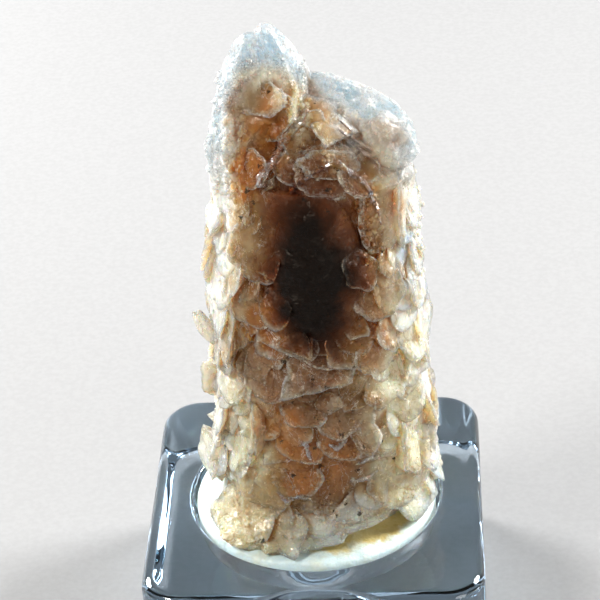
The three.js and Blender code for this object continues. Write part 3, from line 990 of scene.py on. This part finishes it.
def glass_piece():
    side, height, corner, edge = (BLOCK[key] for key in ("side", "height", "corner", "edge"))
    radius, depth, draft, lip, bend = (WELL[key] for key in ("radius", "depth", "draft", "lip", "bend"))
    angles = [atan2(p.y, p.x) for p in rounded_square(side, corner, 0)]

    def circle(reach, z):
        return [Vector((reach * cos(a), reach * sin(a), z)) for a in angles]

    def fillet(part, z):
        inset = edge * (1 - cos(part))
        return rounded_square(side - 2 * inset, corner - inset, z)

    # From the middle of the underside, up the outside, over the top and down the well to its floor.
    flat = side - 2 * edge
    rings = [rounded_square(flat - 16, 3, 0), rounded_square(flat - 4, corner - edge, 0)]
    rings += [fillet(part, edge * (1 - sin(part))) for part in reversed(arc(8))]
    rings += [rounded_square(side, corner, z) for z in np.linspace(edge, height - edge, 14)[1:-1]]
    rings += [fillet(part, height - edge + edge * sin(part)) for part in arc(8)]
    rings += [rounded_square(flat - 1.6, corner - edge, height), circle(radius + lip + 1.0, height)]
    for part in arc(8):
        rings.append(circle(radius + lip * (1 - sin(part)), height - lip * (1 - cos(part))))
    for t in (0.25, 0.5, 0.75, 1):
        rings.append(circle(radius - draft * t, height - lip - (depth - lip - bend) * t))
    for part in arc(6)[1:]:
        z = height - depth + bend * (1 - sin(part))
        rings.append(circle(radius - draft - bend * (1 - cos(part)), z))
    rings += [circle(radius * t, height - depth) for t in (0.75, 0.4, 0.1)]
    made = new_object("glass_holder", *ring_mesh(rings))
    # Pressed glass is slightly wavy everywhere but on its underside.
    for v in made.data.vertices:
        p = v.co / MM
        if 0.5 < p.z:
            wave = noise.fractal(p * 0.11, 0.9, 2.0, 2)
            inner = max(0.0, 1 - abs(p.z - height) * 0.2)
            v.co += v.normal * (-0.09 - 0.09 * wave) * MM * (0.6 + 0.4 * inner)
    finish_mesh(made, 40)
    return made


# ---- Putty ----
# The putty's outer wall: share of its radius, height above the block's top.
PUTTY_WALL = [
    (0.93, -9.7), (0.95, -9.5), (0.985, -5), (0.99, -1.2), (0.985, -0.4), (0.965, 0.1), (0.93, 0.45),
]
PUTTY = {"gap": 0.3, "rise": 1.7, "narrows": 0.36}


def putty_piece():
    reach = WELL["radius"] - PUTTY["gap"]
    last_share, start = PUTTY_WALL[-1]
    # Each level: share of the radius, height, share of the way from there to the specimen's foot.
    levels = [(share, z, 0) for share, z in PUTTY_WALL]
    for t in np.linspace(0.08, 1, 14):
        share = last_share * (1 - PUTTY["narrows"] * t)
        levels.append((share, start + PUTTY["rise"] * smooth_step(0, 1, t), t))

    def foot(inset, angle):
        across = COLUMN_X + (FOOT["half_width"] - inset) * cos(angle)
        return Vector((across, (FOOT["half_depth"] - inset) * sin(angle), 0))

    def point(level, angle):
        share, z, inner = level
        p = Vector((reach * share * cos(angle), reach * share * sin(angle), 0))
        p = p.lerp(foot(0.6, angle), inner)
        bump = 0.55 * noise.fractal(p * 0.22, 0.9, 2.0, 4) + 0.12 * noise.noise(p * 1.3)
        p.z = z + bump * (1 if z > 0 else max(0.0, 1 + z / 1.5) * 0.6)
        return p + Vector((0, 0, TOP))

    under = rings_of([TOP - FOOT["sunk"]], 200, lambda z, angle: foot(1.2, angle) + Vector((0, 0, z)))
    made = new_object("putty_bed", *ring_mesh(rings_of(levels, 200, point) + under))
    finish_mesh(made, 50)
    return made


# ---- Materials; their patterns are in metres, so a noise of scale 1000 has spots of about 1 mm ----
class Nodes:
    """A short way to write a node tree."""

    def __init__(self, name):
        self.material = bpy.data.materials.new(name)
        self.material.use_nodes = True
        self.tree = self.material.node_tree
        self.tree.nodes.clear()
        self.output = self.add("OutputMaterial")
        self.place = self.add("TexCoord").outputs["Object"]

    def add(self, kind, settings=None, **inputs):
        node = self.tree.nodes.new("ShaderNode" + kind)
        for key, value in (settings or {}).items():
            setattr(node, key, value)
        for key, value in inputs.items():
            self.put(node.inputs[key.replace("_", " ")], value)
        return node

    def put(self, socket, value):
        if isinstance(value, bpy.types.NodeSocket):
            self.tree.links.new(value, socket)
        else:
            socket.default_value = value

    def surface(self, **inputs):
        self.put(self.output.inputs["Surface"], self.add("BsdfPrincipled", **inputs).outputs[0])
        return self.material

    def absorb(self, colour, density):
        inside = self.add("VolumeAbsorption", Color=(*colour, 1), Density=density)
        self.put(self.output.inputs["Volume"], inside.outputs[0])

    def attribute(self, name, kind="Fac"):
        return self.add("Attribute", {"attribute_name": name}).outputs[kind]

    def noise(self, scale, detail, roughness, distortion=0.0, place=None):
        numbers = {"Scale": scale, "Detail": detail, "Roughness": roughness, "Distortion": distortion}
        return self.add("TexNoise", Vector=place or self.place, **numbers).outputs["Fac"]

    def pair(self, kind, settings, a, b):
        node = self.add(kind, settings)
        self.put(node.inputs[0], a)
        self.put(node.inputs[1], b)
        return node.outputs

    def math(self, kind, a, b=0.0, clamp=False):
        return self.pair("Math", {"operation": kind, "use_clamp": clamp}, a, b)[0]

    def vector(self, kind, a, b):
        return self.pair("VectorMath", {"operation": kind}, a, b)

    def times(self, value, *factors):
        for factor in factors:
            value = self.math("MULTIPLY", value, factor)
        return value

    def plus(self, a, b):
        return self.math("ADD", a, b)

    def ramp(self, value, low, high, to_low=0.0, to_high=1.0):
        node = self.add("MapRange", {"interpolation_type": "SMOOTHSTEP"})
        for socket, number in zip(node.inputs[:5], (value, low, high, to_low, to_high)):
            self.put(socket, number)
        return node.outputs[0]

    def mix(self, factor, a, b, blend="MIX"):
        node = self.add("Mix", {"data_type": "RGBA", "blend_type": blend})
        self.put(node.inputs[0], factor)
        for socket, colour in zip(node.inputs[6:8], (a, b)):
            self.put(socket, colour if isinstance(colour, bpy.types.NodeSocket) else (*colour, 1))
        return node.outputs[2]

    def line(self, value, level, width, strength):
        """A thin line where the value passes the level."""
        away = self.math("ABSOLUTE", self.math("SUBTRACT", value, level))
        return self.ramp(away, 0.0, width, strength, 0.0)

    def bumps(self, normal, *rows):
        """Bumps on top of each other; each row is height, strength and distance."""
        for height, strength, distance in rows:
            node = self.add("Bump", Strength=strength, Distance=distance, Height=height)
            if normal is not None:
                self.put(node.inputs["Normal"], normal)
            normal = node.outputs["Normal"]
        return normal

    def facets(self, scale, strength, normal):
        """Small flat facets: each cell of a Voronoi pattern is a plane with a slope of its own."""
        warp = self.add("TexNoise", Vector=self.place, Scale=scale * 1.5).outputs["Color"]
        warp = self.add("VectorMath", {"operation": "SCALE"}, Vector=warp, Scale=0.6 / scale).outputs[0]
        place = self.vector("ADD", self.place, warp)[0]
        cell = self.add("TexVoronoi", Vector=place, Scale=scale).outputs
        offset = self.vector("SUBTRACT", place, cell["Position"])[0]
        slope = self.vector("SUBTRACT", cell["Color"], (0.5, 0.5, 0.5))[0]
        return self.bumps(normal, (self.vector("DOT_PRODUCT", offset, slope)["Value"], strength, 1.0))


def crystal_material():
    m = Nodes("crystal")
    tint = m.attribute("tint", "Color")
    edge, thin, relief, cavity, ice = map(m.attribute, ("edge", "thin", "relief", "cavity", "ice"))
    cloud, mottle, speckle = m.noise(260, 5, 0.6), m.noise(900, 4, 0.6), m.noise(2600, 3, 0.6)
    light = m.add("RGBToBW", Color=tint).outputs[0]
    lit = m.ramp(light, 0.01, 0.12)

    # Calcite: clouded; painted shade in hollows, painted highlight where it stands out, frosted rims with
    # painted glow and glints, and painted glow where it is thin.
    veil = m.times(m.ramp(cloud, 0.3, 0.7, 0.0, 0.6), m.ramp(light, 0.3, 0.8, 1, 0.3))
    colour = m.mix(veil, tint, (0.66, 0.52, 0.40), "MULTIPLY")
    # Painted shade: darker and more orange where the cavity measure finds the surface sheltered.
    hollow_shade = m.times(m.ramp(cavity, 0.15, 0.75), m.ramp(ice, 0, 1, 0.95, 0.45))
    hollow_shade = m.times(hollow_shade, m.ramp(light, 0.55, 0.85, 1, 0.4))
    colour = m.mix(hollow_shade, colour, (0.66, 0.34, 0.11), "MULTIPLY")
    # Painted highlight: paler where the surface stands out from its neighbours.
    raised_highlight = m.times(m.ramp(relief, 0.4, 1.8, 0, 0.32), m.ramp(mottle, 0.35, 0.7, 0.1, 1))
    colour = m.mix(m.times(raised_highlight, m.ramp(light, 0.05, 0.4)), colour, (0.80, 0.72, 0.54))
    # Pale rims: partly frosting, partly painted glow and glints on the plates' thin edges.
    frost = m.times(m.ramp(edge, 0.7, 1, 0, 0.5), m.ramp(speckle, 0.45, 0.6))
    rim = m.times(m.ramp(edge, 0.86, 0.99, 0, 0.85), m.ramp(mottle, 0.4, 0.56, 0.05, 1))
    pale = m.times(m.math("MAXIMUM", frost, rim), m.ramp(light, 0.0, 0.12, 0.1, 1))
    colour = m.mix(pale, colour, (0.90, 0.86, 0.76))
    # Painted glow: paler where the solid behind the surface is thin.
    glow = m.times(lit, m.ramp(mottle, 0.3, 0.7, 0.4, 1), m.ramp(thin, 0.3, 0.9, 0, 0.5))
    colour = m.mix(glow, colour, (0.92, 0.86, 0.68))
    tall = m.add("Mapping", Vector=m.place, Scale=(1.0, 1.0, 0.45)).outputs[0]
    layers = m.noise(330, 6, 0.62, 0.9, tall)
    cracks = m.times(m.line(layers, 0.5, 0.012, 0.6), m.ramp(light, 0.4, 0.75, 0.1, 1))
    colour = m.mix(cracks, colour, (0.50, 0.38, 0.20), "MULTIPLY")
    # Painted glints: pale streaks along the growth layers.
    gleams = m.times(m.line(layers, 0.57, 0.010, 0.6), m.ramp(light, 0.03, 0.2))
    colour = m.mix(gleams, colour, (0.95, 0.92, 0.83))

    # Quartz: bluish, with pale and dark veins.
    veins = m.noise(420, 6, 0.65, 1.2)
    frozen = m.mix(m.ramp(cloud, 0.35, 0.65), (0.50, 0.68, 0.80), (0.82, 0.88, 0.92))
    frozen = m.mix(m.line(veins, 0.5, 0.03, 0.8), frozen, (0.97, 0.98, 0.99))
    frozen = m.mix(m.line(veins, 0.59, 0.012, 0.5), frozen, (0.42, 0.48, 0.52))
    colour = m.mix(m.times(ice, m.ramp(mottle, 0.25, 0.6, 0.7, 1)), colour, frozen)

    # Dark specks, most of them where the stone is brown.
    cell = m.add("TexVoronoi", Vector=m.place, Scale=520.0, Randomness=1.0).outputs
    speck = m.ramp(m.plus(cell["Distance"], m.ramp(speckle, 0.3, 0.7, -0.12, 0.12)), 0.15, 0.22, 1, 0)
    rare = m.plus(m.ramp(light, 0.02, 0.12, 0.7, 0.55), m.ramp(light, 0.15, 0.45, 0, 0.36))
    chance = m.add("SeparateColor", Color=cell["Color"]).outputs[0]
    specks = m.times(speck, m.math("GREATER_THAN", chance, rare), 0.9)
    colour = m.mix(specks, colour, (0.012, 0.008, 0.006))

    # Relief: facets, growth bands along the edges and fine grain.
    drift = m.plus(m.times(mottle, 14.0), m.times(cloud, 20.0))
    bands = m.times(m.math("SINE", m.plus(m.times(edge, 58.0), drift)), m.ramp(edge, 0.45, 0.8))
    normal = m.bumps(None, (cloud, 0.4, 0.0008))
    normal = m.facets(900.0, 0.5, m.facets(320.0, 0.7, normal))
    normal = m.bumps(normal, (mottle, 0.5, 0.00035), (bands, 0.35, 0.00006), (speckle, 0.4, 0.00012))

    dull = m.plus(m.ramp(lit, 0, 1, 0.3, 0), m.ramp(ice, 0, 1, 0, 0.12))
    clear = m.math("ADD", m.ramp(ice, 0, 1, 0.4, 0.62), m.ramp(edge, 0.6, 1, 0, 0.25), True)
    m.absorb((0.97, 0.82, 0.62), 6.0)
    return m.surface(
        Base_Color=colour,
        Roughness=m.plus(m.ramp(mottle, 0.35, 0.65, 0.05, 0.28), dull),
        Normal=normal,
        Transmission_Weight=m.times(clear, lit),
        IOR=1.55,
        Specular_IOR_Level=0.14,
        Specular_Tint=(1.0, 0.88, 0.74, 1),
        Subsurface_Weight=0.85,
        Subsurface_Radius=m.mix(ice, (0.0066, 0.0042, 0.0024), (0.0070, 0.0080, 0.0090)),
        Subsurface_Scale=1.0,
    )


def glass_material():
    m = Nodes("pressed_glass")
    sheen, fine = m.noise(60, 3, 0.5), m.noise(700, 3, 0.6)
    colour = m.mix(m.ramp(sheen, 0.3, 0.7), (0.93, 0.965, 0.985), (0.97, 0.985, 0.99))
    rough, normal = m.ramp(fine, 0.3, 0.8, 0.0, 0.03), m.bumps(None, (sheen, 0.25, 0.0005))
    m.absorb((0.38, 0.71, 0.97), 12.0)
    return m.surface(Base_Color=colour, Roughness=rough, Normal=normal, IOR=1.5, Transmission_Weight=1.0)


def putty_material():
    """Tan beside the specimen's foot, pale and bluish further out."""
    m = Nodes("putty")
    place = m.add("SeparateXYZ", Vector=m.place).outputs
    across = m.math("SUBTRACT", place[0], COLUMN_X * MM)
    away = m.math("SQRT", m.plus(m.math("POWER", across, 2), m.math("POWER", place[1], 2)))
    cloud, mottle = m.noise(220, 5, 0.6), m.noise(1100, 4, 0.6)
    away = m.plus(away, m.ramp(cloud, 0.3, 0.7, -0.0012, 0.0012))
    colour = m.mix(m.ramp(away, 0.0150, 0.0175), (0.50, 0.40, 0.16), (0.55, 0.68, 0.69))
    colour = m.mix(m.ramp(cloud, 0.45, 0.7, 0, 0.5), colour, (0.66, 0.66, 0.50))
    colour = m.mix(m.ramp(mottle, 0.45, 0.75, 0, 0.3), colour, (0.78, 0.76, 0.62), "MULTIPLY")
    return m.surface(
        Base_Color=colour,
        Roughness=m.ramp(mottle, 0.3, 0.7, 0.22, 0.5),
        Normal=m.bumps(None, (cloud, 0.6, 0.0008), (mottle, 0.6, 0.0003)),
        Subsurface_Weight=0.3,
        Subsurface_Radius=(0.0015, 0.001, 0.0006),
        Subsurface_Scale=1.0,
    )


def floor_material():
    m = Nodes("pale_floor")
    colour = m.mix(m.ramp(m.noise(900, 4, 0.6), 0.3, 0.7), (0.25, 0.25, 0.25), (0.27, 0.27, 0.27))
    return m.surface(Base_Color=colour, Roughness=0.85)


# ---- Camera, floor and light, in metres and degrees ----
CAMERA = {"azimuth": 4.1, "elevation": 33.0, "roll": -3.8, "distance": 0.393, "lens": 144.5}
AIM = Vector((-0.0018, 0.0169, 0.0511))
# The floor is a square just below the block.
FLOOR = {"half": 3.0, "height": -0.0003}
# [name, place, size, power, colour]; each faces LIT_PLACE.
LIGHTS = [
    ("key_light", (-0.4, -0.3, 0.6), 0.2, 4.6, (1.0, 0.98, 0.95)),
    ("fill_light", (0.7, -0.75, 0.35), 0.5, 3.0, (1, 1, 1)),
    ("left_back_light", (-0.5, 0.35, 0.3), 0.3, 10.0, (1, 1, 1)),
    ("right_back_light", (0.55, 0.25, 0.35), 0.3, 11.0, (1, 1, 1)),
]
LIT_PLACE = Vector((0, 0, 0.06))
STUDIO = {"colour": (1.0, 0.98, 0.96, 1), "strength": 0.2}


def place_camera():
    azimuth, elevation, roll = (CAMERA[key] * RAD for key in ("azimuth", "elevation", "roll"))
    back = direction(azimuth, elevation)
    right = (-back).cross(Vector((0, 0, 1))).normalized()
    up = right.cross(-back)
    data = bpy.data.cameras.new("camera")
    data.lens, data.sensor_width = CAMERA["lens"], 36
    data.clip_start, data.clip_end = 0.01, 20
    camera = placed("camera", data)
    turn = Matrix((turned(right, up, roll), turned(up, -right, roll), back)).transposed()
    camera.matrix_world = Matrix.LocRotScale(AIM + back * CAMERA["distance"], turn, None)
    bpy.context.scene.camera = camera


def area_light(name, place, size, power, colour):
    data = bpy.data.lights.new(name, "AREA")
    data.shape, data.size, data.energy, data.color = "DISK", size, power, colour
    light = placed(name, data)
    light.location = place
    light.rotation_mode = "QUATERNION"
    light.rotation_quaternion = (Vector(place) - LIT_PLACE).to_track_quat("Z", "Y")


def place_stage():
    half, height = FLOOR["half"], FLOOR["height"]
    corners = [(x * half, y * half, height) for x, y in ((-1, -1), (1, -1), (1, 1), (-1, 1))]
    floor = new_object("floor", corners, [(0, 1, 2, 3)], 1)
    floor.data.materials.append(floor_material())
    for row in LIGHTS:
        area_light(*row)
    world = bpy.data.worlds.new("studio")
    bpy.context.scene.world = world
    world.use_nodes = True
    background = world.node_tree.nodes["Background"].inputs
    background["Color"].default_value = STUDIO["colour"]
    background["Strength"].default_value = STUDIO["strength"]
    bpy.context.scene.view_settings.view_transform = "Standard"


place_camera()
place_stage()
for piece, material, node, slot in (
    (specimen_piece(), crystal_material(), "specimen", "specimen"),
    (glass_piece(), glass_material(), "glass_block", "glass"),
    (putty_piece(), putty_material(), "putty", "putty"),
):
    piece.data.materials.clear()
    piece.data.materials.append(material)
    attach(piece, "root")
    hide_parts(node)
